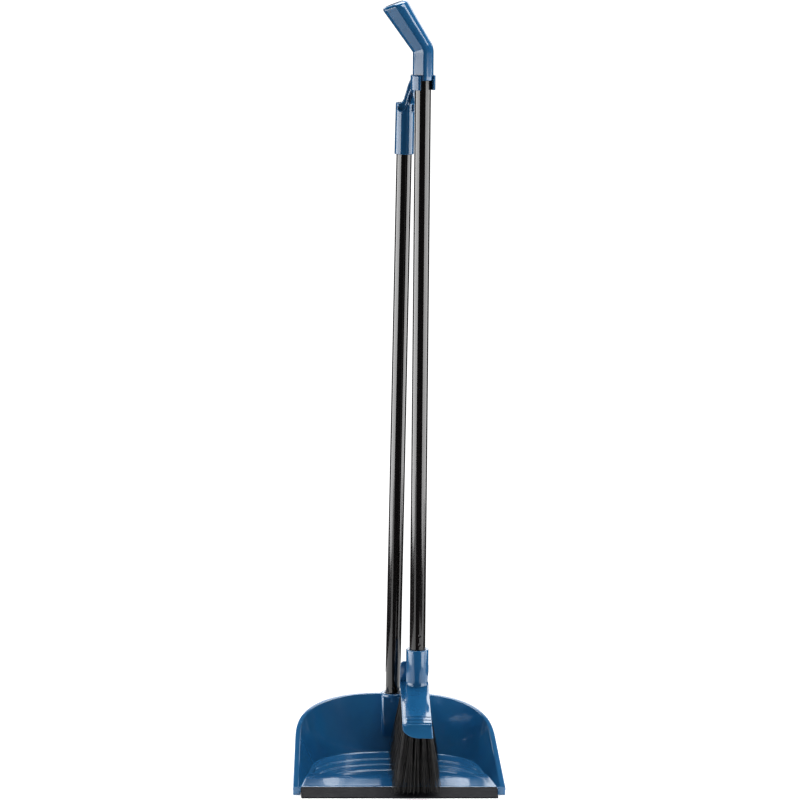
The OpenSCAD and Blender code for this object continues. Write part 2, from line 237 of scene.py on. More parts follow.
def rounded_outline(points, radii, steps=5, room=0.45):
    """A closed outline with each corner rounded by its own radius; zero keeps it sharp."""
    out = []
    n = len(points)
    for i, p in enumerate(points):
        if radii[i] > 0:
            out += round_corner(points[i - 1], p, points[(i + 1) % n], radii[i], steps, room)
        else:
            out.append(tuple(p))
    return out


def slab(shape, outline, low, high, bevel, place, steps=3):
    """A plate with this outline between two heights, its top and bottom edges rounded."""
    flat = np.array(outline, float)
    before, after = np.roll(flat, 1, 0), np.roll(flat, -1, 0)
    run = after - before
    run /= np.linalg.norm(run, axis=1)[:, None]
    area = np.sum(flat[:, 0] * after[:, 1] - after[:, 0] * flat[:, 1])
    inward = np.stack([-run[:, 1], run[:, 0]], 1) * (1 if area > 0 else -1)
    rings = []
    for i in range(steps + 1):
        a = math.pi / 2 * i / steps
        rings.append((bevel * (1 - math.sin(a)), low + bevel * (1 - math.cos(a))))
    for i in range(steps + 1):
        a = math.pi / 2 * i / steps
        rings.append((bevel * (1 - math.cos(a)), high - bevel * (1 - math.sin(a))))
    shape.loft([[(*(p + inward[j] * d), z) for j, p in enumerate(flat)] for d, z in rings], place)


# ---- Materials ----


class Nodes:
    """A short way to write a material's node tree."""

    def __init__(self, name):
        self.material = bpy.data.materials.new(name)
        self.material.use_nodes = True
        self.tree = self.material.node_tree
        self.shader = self.tree.nodes["Principled BSDF"]
        self.place = self.add("ShaderNodeTexCoord").outputs["Object"]

    def add(self, kind, inputs=None, **settings):
        node = self.tree.nodes.new(kind)
        for key, value in settings.items():
            setattr(node, key, value)
        for key, value in (inputs or {}).items():
            self.join(value, node.inputs[key])
        return node

    def join(self, value, socket):
        if isinstance(value, bpy.types.NodeSocket):
            self.tree.links.new(value, socket)
        else:
            socket.default_value = value

    def stretched(self, scale):
        return self.add("ShaderNodeMapping", {"Vector": self.place, "Scale": scale}).outputs["Vector"]

    def noise(self, scale, detail=3.0, rough=0.5, vector=None):
        inputs = {"Vector": vector or self.place, "Scale": scale, "Detail": detail, "Roughness": rough}
        return self.add("ShaderNodeTexNoise", inputs).outputs["Fac"]

    def spread(self, value, low, high, to_low=0.0, to_high=1.0):
        inputs = {
            "Value": value,
            "From Min": low,
            "From Max": high,
            "To Min": to_low,
            "To Max": to_high,
        }
        return self.add("ShaderNodeMapRange", inputs).outputs["Result"]

    def blend(self, share, a, b):
        node = self.add("ShaderNodeMix", data_type="RGBA")
        for key, value in (("Factor", share), ("A", a), ("B", b)):
            socket = [s for s in node.inputs if s.name == key and s.enabled][0]
            self.join(value, socket)
        return [s for s in node.outputs if s.enabled][0]

    def bump(self, height, strength, distance, under=None):
        inputs = {"Height": height, "Strength": strength, "Distance": distance}
        if under is not None:
            inputs["Normal"] = under
        return self.add("ShaderNodeBump", inputs).outputs["Normal"]

    def set(self, **sockets):
        for key, value in sockets.items():
            self.join(value, self.shader.inputs[key.replace("_", " ")])
        return self.material


def linear(code, alpha=1.0):
    """A hex sRGB colour as linear numbers."""
    out = []
    for i in (0, 2, 4):
        c = int(code[i : i + 2], 16) / 255
        out.append(c / 12.92 if c <= 0.04045 else ((c + 0.055) / 1.055) ** 2.4)
    return (*out, alpha)


def blue_plastic():
    n = Nodes("blue_plastic")
    cloud = n.noise(14.0, 4.0)
    fine = n.noise(900.0, 2.0)
    flow = n.noise(30.0, 3.0, vector=n.stretched((1.0, 1.0, 0.25)))
    base = n.blend(n.spread(cloud, 0.35, 0.65), linear("24608F"), linear("2D6B9B"))
    base = n.blend(n.spread(flow, 0.3, 0.7, 0.0, 0.35), base, linear("2D749E"))
    # Painted highlight: convex edges, found by pointiness, are mixed towards a lighter blue.
    edge = n.spread(n.add("ShaderNodeNewGeometry").outputs["Pointiness"], 0.53, 0.62, 0.0, 0.3)
    base = n.blend(edge, base, linear("5F95C4"))
    rough = n.spread(n.noise(60.0, 4.0), 0.3, 0.7, 0.1, 0.15)
    peel = n.bump(n.noise(120.0, 2.0), 0.012, 0.0003)
    return n.set(
        Base_Color=base,
        Roughness=rough,
        Normal=n.bump(fine, 0.03, 0.00005, peel),
        Specular_IOR_Level=0.55,
        Coat_Weight=0.7,
        Coat_Roughness=0.03,
    )


def black_tube():
    n = Nodes("black_tube")
    drawn = n.noise(60.0, 3.0, 0.5, n.stretched((12.0, 12.0, 0.3)))
    specks = n.noise(900.0, 1.0)
    base = n.blend(n.spread(drawn, 0.3, 0.7), linear("0C090A"), linear("161112"))
    rough = n.spread(n.noise(70.0, 4.0), 0.3, 0.7, 0.09, 0.13)
    return n.set(
        Base_Color=base,
        Roughness=rough,
        Normal=n.bump(drawn, 0.02, 0.0001, n.bump(specks, 0.02, 0.00003)),
        Specular_IOR_Level=0.6,
        Coat_Weight=0.8,
        Coat_Roughness=0.05,
    )


def black_rubber():
    n = Nodes("black_rubber")
    dust = n.noise(55.0, 6.0, 0.65)
    grain = n.noise(2200.0, 2.0)
    drag = n.noise(25.0, 4.0, 0.6, n.stretched((0.6, 14.0, 14.0)))
    base = n.blend(n.spread(dust, 0.35, 0.75), linear("141419"), linear("202026"))
    base = n.blend(n.spread(drag, 0.4, 0.75, 0.0, 0.6), base, linear("27282E"))
    rough = n.spread(dust, 0.3, 0.7, 0.45, 0.62)
    return n.set(
        Base_Color=base,
        Roughness=rough,
        Normal=n.bump(grain, 0.25, 0.0001, n.bump(drag, 0.12, 0.0003)),
        Specular_IOR_Level=0.22,
    )


def bristle():
    n = Nodes("bristle")
    strand = n.noise(420.0, 2.0, 0.7, n.stretched((1.0, 1.0, 0.03)))
    along = n.noise(70.0, 3.0)
    base = n.blend(n.spread(strand, 0.35, 0.7), linear("151516"), linear("3E3D3E"))
    base = n.blend(n.spread(along, 0.45, 0.8, 0.0, 0.5), base, linear("5A5856"))
    return n.set(
        Base_Color=base,
        Roughness=n.spread(strand, 0.3, 0.7, 0.34, 0.5),
        Normal=n.bump(n.noise(2500.0, 1.0), 0.1, 0.00005),
        Specular_IOR_Level=0.5,
    )


def plug_plastic():
    n = Nodes("plug_plastic")
    cloud = n.noise(200.0, 4.0)
    return n.set(
        Base_Color=n.blend(n.spread(cloud, 0.3, 0.7), linear("2E2E2F"), linear("3B3B3C")),
        Roughness=n.spread(cloud, 0.3, 0.7, 0.45, 0.6),
        Normal=n.bump(n.noise(1500.0, 2.0), 0.15, 0.0001),
    )


def anchor_wire():
    n = Nodes("anchor_wire")
    drawn = n.noise(500.0, 3.0, 0.6, n.stretched((0.1, 1.0, 1.0)))
    return n.set(
        Base_Color=n.blend(n.spread(drawn, 0.3, 0.7), linear("A9A9A6"), linear("C4C3BE")),
        Metallic=1.0,
        Roughness=n.spread(drawn, 0.3, 0.7, 0.28, 0.42),
        Normal=n.bump(drawn, 0.1, 0.0001),
    )


MATERIALS = {
    "blue_plastic": blue_plastic(),
    "black_tube": black_tube(),
    "black_rubber": black_rubber(),
    "bristle": bristle(),
    "plug_plastic": plug_plastic(),
    "anchor_wire": anchor_wire(),
}


def dress(piece, slot_name):
    piece.data.materials.clear()
    piece.data.materials.append(MATERIALS[slot_name])


def piece_done(piece, body, slot_name, *nodes):
    dress(piece, slot_name)
    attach(piece, body)
    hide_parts(*nodes)
    return piece


# ---- Dust pan ----


def rim_h(y):
    return RIM_FRONT_H + RIM_SLOPE * (y - WALL_START)


def rim_x(y):
    return PAN_HALF - SIDE_TAPER * (y - WALL_START)


def foot_x(y):
    return rim_x(y) - FLANGE_W - WALL_FLARE * (rim_h(y) - FLOOR_H)


FOOT_BACK = PAN_DEPTH - FLANGE_W - WALL_FLARE * (rim_h(PAN_DEPTH) - FLOOR_H)
WALL_BACK = PAN_T * math.hypot(1, WALL_FLARE)


def arch(angle, half_width, y0, y_end, n, inset=0.0):
    y = y0 + (y_end - y0) * math.sin(angle) ** (2 / n)
    return np.array([(half_width(y) - inset) * max(0.0, math.cos(angle)) ** (2 / n), y])


def rim_arch(angle):
    return arch(angle, rim_x, ARCH_START, PAN_DEPTH, RIM_ARCH_N)


def foot_arch(angle, inset=0.0, back=0.0):
    return arch(angle, foot_x, ARCH_START - back, FOOT_BACK - back, FOOT_ARCH_N, inset)


def even_angles(count):
    """Angles that divide the rim's arch into equal lengths."""
    fine = [math.pi / 2 * i / 4000 for i in range(4001)]
    points = np.array([rim_arch(a) for a in fine])
    length = np.concatenate([[0], np.cumsum(np.linalg.norm(np.diff(points, axis=0), axis=1))])
    return [float(np.interp(length[-1] * i / count, length, fine)) for i in range(count + 1)]


# Where the pan's rows of points stand: beside the lip, along each side, and round the arch
FRONT_ROWS = [14, 16.5, 19, 21.5]
EVEN_FROM = 28.0
SIDE_ROWS = [LIP_DEPTH + d for d in (0, 0.3, 0.6, 0.9, 1.2, 1.5, 2.0, 3.0)]
SIDE_ROWS += [EVEN_FROM + (ARCH_START - EVEN_FROM) * i / 38 for i in range(38)]
ARCH_ANGLES = even_angles(84)
MIDDLE_END = 60.0

# How far each step's edge lies in from the wall's foot, at the side and at the back
STEP_PLACES = [(STEP_SIDE + STEP_SIDE_RUN * out, STEP_BACK + STEP_RUN * out) for out in range(STEP_COUNT)]


def squeezed(y, y_end):
    """Rows run straight across near the lip; those behind, up to the arch, are drawn in to end at y_end."""
    if y < EVEN_FROM:
        return y
    return EVEN_FROM + (y - EVEN_FROM) * (y_end - EVEN_FROM) / (ARCH_START - EVEN_FROM)


def plan_rows():
    """Rim point, foot point and step edges, outermost first, for every row of one side, front to back."""
    rows = []
    for y in FRONT_ROWS + SIDE_ROWS:
        edges = []
        for inset, back in STEP_PLACES:
            at = squeezed(y, ARCH_START - back)
            edges.append(np.array([foot_x(at) - inset, at]))
        rows.append((np.array([rim_x(y), y]), np.array([foot_x(y), y]), edges))
    for a in ARCH_ANGLES:
        edges = [foot_arch(a, inset, back) for inset, back in STEP_PLACES]
        rows.append((rim_arch(a), foot_arch(a), edges))
    return rows


def mirrored(p):
    return np.array([-p[0], p[1]])


def all_rows():
    half = plan_rows()
    other = [(mirrored(r), mirrored(f), [mirrored(e) for e in edges]) for r, f, edges in half[:-1]]
    return half + other[::-1]


PAN_ROWS = all_rows()


def lap(y):
    """How far the wall's foot runs in over the floor; ahead of the floor it stays clear of the lip."""
    if y < LIP_DEPTH:
        return max(0.15, min(1.5, foot_x(y) - LIP_HIGH[0] - 0.1))
    t = min(1.0, (y - LIP_DEPTH) / 12)
    return 1.5 + 3.0 * t * t * (3 - 2 * t)


def wall_ring(row):
    """The wall's closed section at one row: flange, wall, and the start of the floor."""
    rim, foot, _ = row
    run = foot - rim
    reach = float(np.linalg.norm(run))
    way = run / reach
    h = rim_h(rim[1])
    floor_in = lap(foot[1])
    start = foot + way * floor_in
    top = floor_top(STEP_COUNT, max(start[1], LIP_DEPTH))
    corners = [
        ((0, h), 1.3, 6),
        ((FLANGE_W, h), 2.2, 7),
        ((reach - WALL_FLARE * (top - FLOOR_H), top), 2.5, 8),
        ((reach + floor_in, top), 0, 0),
        ((reach + floor_in, top - PAN_T), 0, 0),
        ((reach - WALL_BACK + PAN_T, top - PAN_T), 0, 0),
        ((reach - WALL_BACK + PAN_T, 0), 0.4, 2),
        ((reach - WALL_BACK, 0), 0.4, 2),
        ((reach - WALL_BACK, FLOOR_H), 0.8, 3),
        ((FLANGE_W - WALL_BACK, h - PAN_T), 1.0, 4),
        ((1.9, h - PAN_T), 0.6, 3),
        ((1.9, h - SKIRT_H), 0.35, 2),
        ((0, h - SKIRT_H), 0.35, 2),
    ]
    outline = []
    for i, (corner, radius, steps) in enumerate(corners):
        if radius:
            after = corners[(i + 1) % len(corners)][0]
            share = 0.9 if i == 2 else 0.45
            outline += round_corner(corners[i - 1][0], corner, after, radius, steps, share)
        else:
            outline.append(corner)
    return [(rim[0] + way[0] * s, rim[1] + way[1] * s, z) for s, z in outline]


def soft_min(a, b, width):
    """The lower of two heights, eased where they cross."""
    d = abs(a - b)
    return min(a, b) - (max(0.0, width - d) ** 2) / (4 * width)


def floor_top(level, y):
    """Height of the pan's floor, level steps up. Steps fade out to the front, where a ridge crosses."""
    fade = STEP_COUNT * (y - STEPS_FROM) / (STEPS_FULL - STEPS_FROM)
    steps = STEP_H * max(0.0, soft_min(level, fade, 0.4))
    far = (y - LIP_DEPTH) / (RIDGE_Y - LIP_DEPTH)
    up = RIDGE_H * far * (0.78 + 0.22 * far)
    down = RIDGE_H * (RIDGE_END - y) / (RIDGE_END - RIDGE_Y)
    ridge = max(0.0, soft_min(up, down, 1.4))
    bead = BEAD_H * math.sin(math.pi * min(1.0, (y - LIP_DEPTH) / BEAD_W))
    return FLOOR_H - soft_min(-steps, -ridge, 0.3) + bead


# A step's rounded edge: [millimetres past it towards the middle, share of the step gone down by there]
STEP_EASE = ((-0.8, 0.0), (-0.5, 0.07), (-0.25, 0.23), (0.0, 0.5), (0.25, 0.77), (0.5, 0.93), (0.8, 1.0))
STEP_HALF = STEP_EASE[-1][0]
STEP_PARTS = 9
MIDDLE_PARTS = 36


def floor_line(row):
    """Points from the wall in to the pan's middle at one row, over the floor's steps."""
    rim, foot, edges = row
    start = foot + (foot - rim) / np.linalg.norm(foot - rim) * lap(foot[1])
    middle = np.array([0, squeezed(min(rim[1], ARCH_START), MIDDLE_END)])
    out = [(start, STEP_COUNT)]
    for k, edge in enumerate(edges):
        level = STEP_COUNT - k
        toward = middle - edge
        toward = toward / max(1e-6, float(np.linalg.norm(toward)))
        last = out[-1][0]
        for i in range(1, STEP_PARTS):
            out.append((last + (edge - STEP_HALF * toward - last) * i / STEP_PARTS, level))
        out += [(edge + toward * part, level - drop) for part, drop in STEP_EASE]
    last = out[-1][0]
    out += [(last + (middle - last) * i / MIDDLE_PARTS, 0) for i in range(1, MIDDLE_PARTS + 1)]
    return [(p[0], max(p[1], LIP_DEPTH), floor_top(level, max(p[1], LIP_DEPTH))) for p, level in out]


def add_floor(shape):
    """The floor's plate: its top follows the steps, and its underside lies parallel below."""
    first = len(FRONT_ROWS)
    tops = [floor_line(row) for row in PAN_ROWS[first : len(PAN_ROWS) - first]]
    unders = [[(x, y, z - PAN_T) for x, y, z in line] for line in tops]
    rings = [top + under[::-1] for top, under in zip(tops, unders)]
    shape.loft(rings, FROM_LIP, skip=lambda r, j: j == len(rings[0]) - 1)


# The side of a wall's section that the floor's plate takes the place of
FLOOR_SIDE = 24


def build_pan():
    """The pan: wall and rim in one closed run, with the floor, the ribs and the handle's socket."""
    shape = Shape()
    first, last = len(FRONT_ROWS), len(PAN_ROWS) - len(FRONT_ROWS) - 1
    walls = [wall_ring(row) for row in PAN_ROWS]
    shape.loft(walls, FROM_LIP, skip=lambda r, j: j == FLOOR_SIDE and first <= r < last)
    add_floor(shape)
    add_wall_ends(shape)
    add_ribs(shape)
    add_socket(shape)
    return shape.build("pan_shell_moulding", 40)


def box_slab(shape, low, high, bevel=0.4):
    outline = [(low[0], low[1]), (high[0], low[1]), (high[0], high[1]), (low[0], high[1])]
    slab(shape, rounded_outline(outline, [bevel] * 4, 2), low[2], high[2], bevel * 0.9, FROM_LIP, 2)


def add_wall_ends(shape):
    """Closes the hollow under the rim at the front end of each side wall."""
    low, high = LIP_HIGH[0] + 0.5, PAN_HALF - 0.25
    for x0, x1 in ((-high, -low), (low, high)):
        box_slab(shape, (x0, WALL_START + 0.05, 0), (x1, WALL_START + 3.0, RIM_FRONT_H - 0.4), 0.6)


def add_ribs(shape):
    """Ribs under the floor, a bar along its front edge, and the tongue that holds the lip."""
    top = FLOOR_H - PAN_T + 0.2
    front = LIP_DEPTH + 1
    for i in range(-2, 3):
        length = FOOT_BACK - LIP_DEPTH - abs(i) * 20 - 4
        box_slab(shape, (i * 44 - 1.2, front, 0), (i * 44 + 1.2, front + length, top))
    wide = foot_x(LIP_DEPTH) - 0.5
    box_slab(shape, (-wide, LIP_DEPTH, 0), (wide, LIP_DEPTH + 4, FLOOR_H - 0.6))
    half = (LIP_HIGH[0] - LIP_LOW[0]) / 2 - 1
    low, high = LIP_SLOT_LOW + 0.1, LIP_SLOT_HIGH - 0.1
    box_slab(shape, (-half, LIP_DEPTH - LIP_SLOT_DEPTH, low), (half, LIP_DEPTH + 1, high), 0.2)


def add_socket(shape):
    """The block that holds the pan tube, with its bore and its round collar."""
    w, back, corner, bore, steps = 14.0, 13.5, 4.0, 9.2, 96
    outline = rounded_outline([(-w, -w), (w, -w), (w, back), (-w, back)], [corner] * 4, steps // 4 - 1)
    turns = [math.atan2(y, x) for x, y in outline]
    rings = []
    block = ((3.0, 20.2), (1.0, 20.6), (0.3, 21.6), (0, 23.0), (0, 75.0), (0.3, 75.7), (1.0, 76.0))
    for inset, z in block:
        rings.append([(x * (1 - inset / w), y * (1 - inset / w), z) for x, y in outline])
    for r, z in ((bore + 0.4, 76.0), (bore, 75.6), (bore, 27.0)):
        rings.append([(r * math.cos(t), r * math.sin(t), z) for t in turns])
    shape.loft(rings, ON_PAN_TUBE)
    collar = [(bore, 70.0), (14.3, 70.0), (14.3, 77.9), (14.0, 78.6), (13.3, 79.0)]
    collar += [(10.4, 79.0), (9.7, 78.6), (bore, 77.8)]
    shape.lathe(collar, ON_PAN_TUBE, steps, solid=False)


def lip_top(y):
    return LIP_EDGE_T + (FLOOR_H - LIP_EDGE_T) * y / LIP_DEPTH


def build_lip():
    """The wedge of rubber, with fine ribs along its face and a slot along its back for the pan's tongue."""
    shape = Shape()
    half = (LIP_HIGH[0] - LIP_LOW[0]) / 2
    face = [(0.0, 0.0), (0.0, 1.2), (0.4, 1.62)]
    ribs = 9
    for i in range(ribs * 6 + 1):
        t = i / (ribs * 6)
        y = 0.8 + (LIP_DEPTH - 4.0) * t
        face.append((y, lip_top(y) - 0.07 * (1 - math.cos(2 * math.pi * t * ribs))))
    back, slot = LIP_DEPTH - 0.05, LIP_DEPTH - LIP_SLOT_DEPTH
    face += [(LIP_DEPTH - 2.2, FLOOR_H - 0.35), (LIP_DEPTH - 1.2, FLOOR_H - 0.02), (back, FLOOR_H - 0.02)]
    face += [(back, LIP_SLOT_HIGH), (slot, LIP_SLOT_HIGH), (slot, LIP_SLOT_LOW), (back, LIP_SLOT_LOW)]
    face.append((back, 0))
    rings = []
    middle_y, middle_z = LIP_DEPTH / 2, 2.5
    ends = ((half, 0.4), (half - 0.12, 0.12), (half - 0.4, 0))
    for x, shrink in [(-x, shrink) for x, shrink in ends] + list(ends[::-1]):
        ring = []
        for y, z in face:
            in_y = shrink * (0.6 if y < middle_y else -0.2)
            in_z = shrink * (0.25 if z < middle_z else -0.25)
            ring.append((x, y + in_y, z + in_z))
        rings.append(ring)
    shape.loft(rings, FROM_LIP)
    return shape.build("rubber_lip_strip", 30)


# ---- Tubes ----

DIMPLE_DEPTH = 0.5
DIMPLE_R = 0.95
DIMPLE_REACH = 2.4

# [angle in degrees from straight ahead, height] of each dimple
PAN_TUBE_DIMPLES = [(0, 86.4)]
BRUSH_TUBE_DIMPLES = [(12, 148), (12, 159), (-90, 159)]


def tube_rings(low, high, dimples):
    """Heights of a tube's rings, close together at its dimples."""
    zs = {low, high}
    z = low
    while z < high:
        zs.add(round(z, 3))
        z += 12
    for _, at in dimples:
        for i in range(-12, 13):
            zs.add(round(at + i * 0.25, 3))
    return sorted(zs)


def build_tube(name, place, diameter, ends, dimples):
    """A thin tube with small punched dimples at [angle in degrees, height]."""
    shape = Shape()
    steps = 240
    low, high = ends
    r = diameter / 2
    inner = r - TUBE_WALL
    low_end = [(inner, low + 0.3), (inner + 0.2, low), (r - 0.2, low)]
    high_end = [(r - 0.2, high), (inner + 0.2, high), (inner, high - 0.3)]

    def plain(radius, z):
        return [(radius * math.cos(t), radius * math.sin(t), z) for t in circle(steps)]

    rings = [plain(radius, z) for radius, z in low_end]
    for z in tube_rings(low + 0.2, high - 0.2, dimples):
        ring = []
        for t in circle(steps):
            radius = r
            for angle, at in dimples:
                turn = math.radians(angle - 90)
                off = (t - turn + math.pi) % (2 * math.pi) - math.pi
                d = math.hypot(off * r, z - at)
                if d < DIMPLE_REACH:
                    radius -= DIMPLE_DEPTH * math.exp(-((d / DIMPLE_R) ** 2))
            ring.append((radius * math.cos(t), radius * math.sin(t), z))
        rings.append(ring)
    rings += [plain(radius, z) for radius, z in high_end]
    shape.loft(rings, place, joined=True)
    return shape.build(name, 50)


# ---- Grip ----


GRIP_R = 12.2
GRIP_END_R = 15.1
GRIP_LOW = 824.8
GRIP_BORE = 9.6
GRIP_BORE_TOP = 851.8
GRIP_BEND_Z = 857.0
GRIP_BEND_R = GRIP_R + 1.0
GRIP_BEND = math.radians(33.5)
GRIP_ARM = 62.0
GRIP_DROP = GRIP_ARM - 3.0
GRIP_SQUARE_TO = 34.0
GRIP_CUT = math.radians(21.0)
GRIP_FILLET = 4.2

# The long facet at the grip's front left: how far out it lies, as a share of the radius, and which way
GRIP_FLAT = 0.87
GRIP_FLAT_TURN = math.radians(-118)


def grip_ring(centre, side, radius, flat=GRIP_FLAT):
    out = []
    for t in circle(128):
        across = max(0.05, math.cos(t - GRIP_FLAT_TURN))
        r_t = radius * soft_min(1.0, flat / across, 0.05)
        out.append(tuple(centre + side * (r_t * math.cos(t)) + Y_AXIS * (r_t * math.sin(t))))
    return out


def arm_radius(distance):
    return GRIP_R + (GRIP_END_R - GRIP_R) * distance / GRIP_ARM


def build_grip():
    """The moulded grip: straight, a bend to the left, then a slow flare to a sloping end."""
    shape = Shape()
    r, low = GRIP_R, GRIP_LOW
    rings = []
    for radius, z in ((GRIP_BORE, GRIP_BORE_TOP), (GRIP_BORE, low + 0.6), (GRIP_BORE + 0.4, low)):
        rings.append(grip_ring(np.array([0, 0, z]), X_AXIS, radius, 1.1))
    for radius, z in ((r - 0.7, low), (r - 0.2, low + 0.2), (r, low + 0.7)):
        rings.append(grip_ring(np.array([0, 0, z]), X_AXIS, radius))
    for i in range(1, 9):
        rings.append(grip_ring(np.array([0, 0, low + 0.7 + (GRIP_BEND_Z - low - 0.7) * i / 8]), X_AXIS, r))
    pivot = np.array([-GRIP_BEND_R, 0, GRIP_BEND_Z])
    for i in range(1, 15):
        a = GRIP_BEND * i / 14
        side = np.array([math.cos(a), 0, math.sin(a)])
        rings.append(grip_ring(pivot + side * GRIP_BEND_R, side, r))
    side = np.array([math.cos(GRIP_BEND), 0, math.sin(GRIP_BEND)])
    along = np.array([-math.sin(GRIP_BEND), 0, math.cos(GRIP_BEND)])
    start = pivot + side * GRIP_BEND_R
    normal = np.array([-math.sin(GRIP_CUT), 0, math.cos(GRIP_CUT)])
    cut_at = start + along * GRIP_DROP

    def slide(points, radius_scale, depth):
        """Slides a ring's points along the arm onto the end plane, less a depth."""
        out = []
        for p in points:
            rel = np.array(p) - start
            cross = rel - along * float(rel @ along)
            q = start + cross * radius_scale
            reach = float((cut_at - q) @ normal) / float(along @ normal) - depth
            out.append(tuple(q + along * reach))
        return out

    for i in range(1, 11):
        d = GRIP_SQUARE_TO * i / 10
        rings.append(grip_ring(start + along * d, side, arm_radius(d)))
    level = rings[-1]
    base = grip_ring(start, side, arm_radius(GRIP_DROP))
    target = slide(base, 1.0, GRIP_FILLET)
    for i in range(1, 7):
        t = i / 6
        rings.append([tuple(np.array(a) * (1 - t) + np.array(b) * t) for a, b in zip(level, target)])
    for i in range(1, 8):
        a = math.pi / 2 * i / 7
        scale = 1 - GRIP_FILLET / GRIP_END_R * (1 - math.cos(a))
        rings.append(slide(base, scale, GRIP_FILLET * (1 - math.sin(a))))
    for scale in (0.55, 0.25, 0.04):
        rings.append(slide(base, scale, 0.0))
    shape.loft(rings, ON_BRUSH_TUBE)
    return shape.build("brush_grip_moulding", 40)


# ---- Brush head ----

HEAD_HALF, HEAD_T, HEAD_FLARE = 17.2, 18.0, 2.0
HEAD_SQUARE, HEAD_ROUND_X, HEAD_ROUND_Z = 2.0, 19.6, 14.5
HEAD_HEEL, HEAD_LEN = 15.5, 165.5
TOE = HEAD_HEEL - HEAD_LEN
STRIP_LOW, STRIP_HIGH = -HEAD_HALF + 1.3, -HEAD_HALF + 4.3
GROOVES = [TOE + 2.0 + 11.0 * k for k in range(3)]
GROOVE_W = 2.4
TOE_ROUND = 5.0
END_ROUND = 1.6
SHIELD_LOW, SHIELD_TOP, SHIELD_T = 8, 42, 3.2
FERRULE_R, FERRULE_BORE, FERRULE_TOP, FERRULE_LOW = 13.45, 9.6, 141.0, 95.0


def ease(value, low, high):
    t = min(1.0, max(0.0, (value - low) / (high - low)))
    return t * t * (3 - 2 * t)


def pit(value, low, high, soft=0.2):
    """One inside low..high and zero outside it, with soft edges."""
    return ease(value, low - soft, low + soft) * (1 - ease(value, high - soft, high + soft))


def top_z(x, y):
    """Height of the head's top: a recessed strip, three grooves, and the slight waves of a moulding."""
    strip = pit(x, STRIP_LOW, STRIP_HIGH) * (1 - ease(y, HEAD_HEEL - 5, HEAD_HEEL - 4.4))
    groove = sum(pit(y, g, g + GROOVE_W) for g in GROOVES) * ease(x, STRIP_HIGH, STRIP_HIGH + 0.5)
    wave = 0.10 * math.sin(y / 11.0 + 0.6 * math.sin(x / 6.0)) + 0.08 * math.sin(x / 5.5 + y / 23.0)
    fade = ease(x, STRIP_HIGH + 1, STRIP_HIGH + 5) * (1 - ease(x, 12, 16.5))
    return HEAD_T - 1.5 * strip - 1.0 * groove + wave * fade


def head_ring(y):
    """The head's closed section at one distance along it."""
    past = max(0.0, (TOE + TOE_ROUND - y) / TOE_ROUND)
    dip = TOE_ROUND * (1 - math.sqrt(max(0.0, 1 - min(1.0, past) ** 2)))
    near_end = min(y - TOE, HEAD_HEEL - y)
    inset = END_ROUND * (1 - math.sqrt(max(0.0, 1 - max(0.0, (END_ROUND - near_end) / END_ROUND) ** 2)))
    out = []
    right = round_corner((HEAD_HALF + HEAD_FLARE, 0), (HEAD_HALF, HEAD_T), (0, HEAD_T), 1.2, 6)
    left = round_corner((0, HEAD_T), (-HEAD_HALF, HEAD_T), (-HEAD_HALF, 10), 0.6, 5)
    out += round_corner((0, 0), (HEAD_HALF + HEAD_FLARE, 0), (HEAD_HALF, HEAD_T), 0.6, 4)
    out += right
    xs = [15.5 - i * (15.5 - STRIP_HIGH - 0.6) / 30 for i in range(31)]
    for centre in (STRIP_HIGH, STRIP_LOW):
        xs += [centre + d for d in (0.42, 0.21, 0.0, -0.21, -0.42)]
    xs += [STRIP_LOW - 0.55]
    out += [(x, HEAD_T) for x in xs]
    out += left
    arc_end = math.acos(-(HEAD_HALF - 0.2 + HEAD_SQUARE) / HEAD_ROUND_X)
    for i in range(25):
        a = 2 * math.pi - arc_end + (1.5 * math.pi - (2 * math.pi - arc_end)) * i / 24
        out.append((HEAD_SQUARE + HEAD_ROUND_X * math.cos(a), HEAD_ROUND_Z * (1 + math.sin(a))))
    out += [(6.0, 0.0), (12.0, 0.0)]
    ring = []
    for x, z in out:
        side = inset * min(1.0, abs(x) / HEAD_HALF) * (1 if x > 0 else -1)
        if abs(z - HEAD_T) < 1e-6:
            z = top_z(x, y)
        share = max(0.0, z / HEAD_T)
        ring.append((x - side, y, z - dip * share**3 + 0.3 * inset * (1 - share)))
    return ring


def head_rows():
    """Distances of the head's sections, close together at its ends and grooves."""
    ys = {TOE, HEAD_HEEL}
    for i in range(1, 9):
        ys.add(TOE + TOE_ROUND * (1 - math.cos(math.pi / 2 * i / 8)))
        ys.add(HEAD_HEEL - END_ROUND * (1 - math.cos(math.pi / 2 * i / 8)))
    for g in GROOVES:
        for edge in (g, g + GROOVE_W):
            ys |= {edge + d for d in (-0.4, -0.2, 0.0, 0.2, 0.4)}
    y = TOE + TOE_ROUND
    while y < HEAD_HEEL - 2:
        ys.add(y)
        y += 2.0
    ordered = sorted(ys)
    kept = [ordered[0]]
    for y in ordered[1:]:
        if y - kept[-1] > 0.03:
            kept.append(y)
    return kept


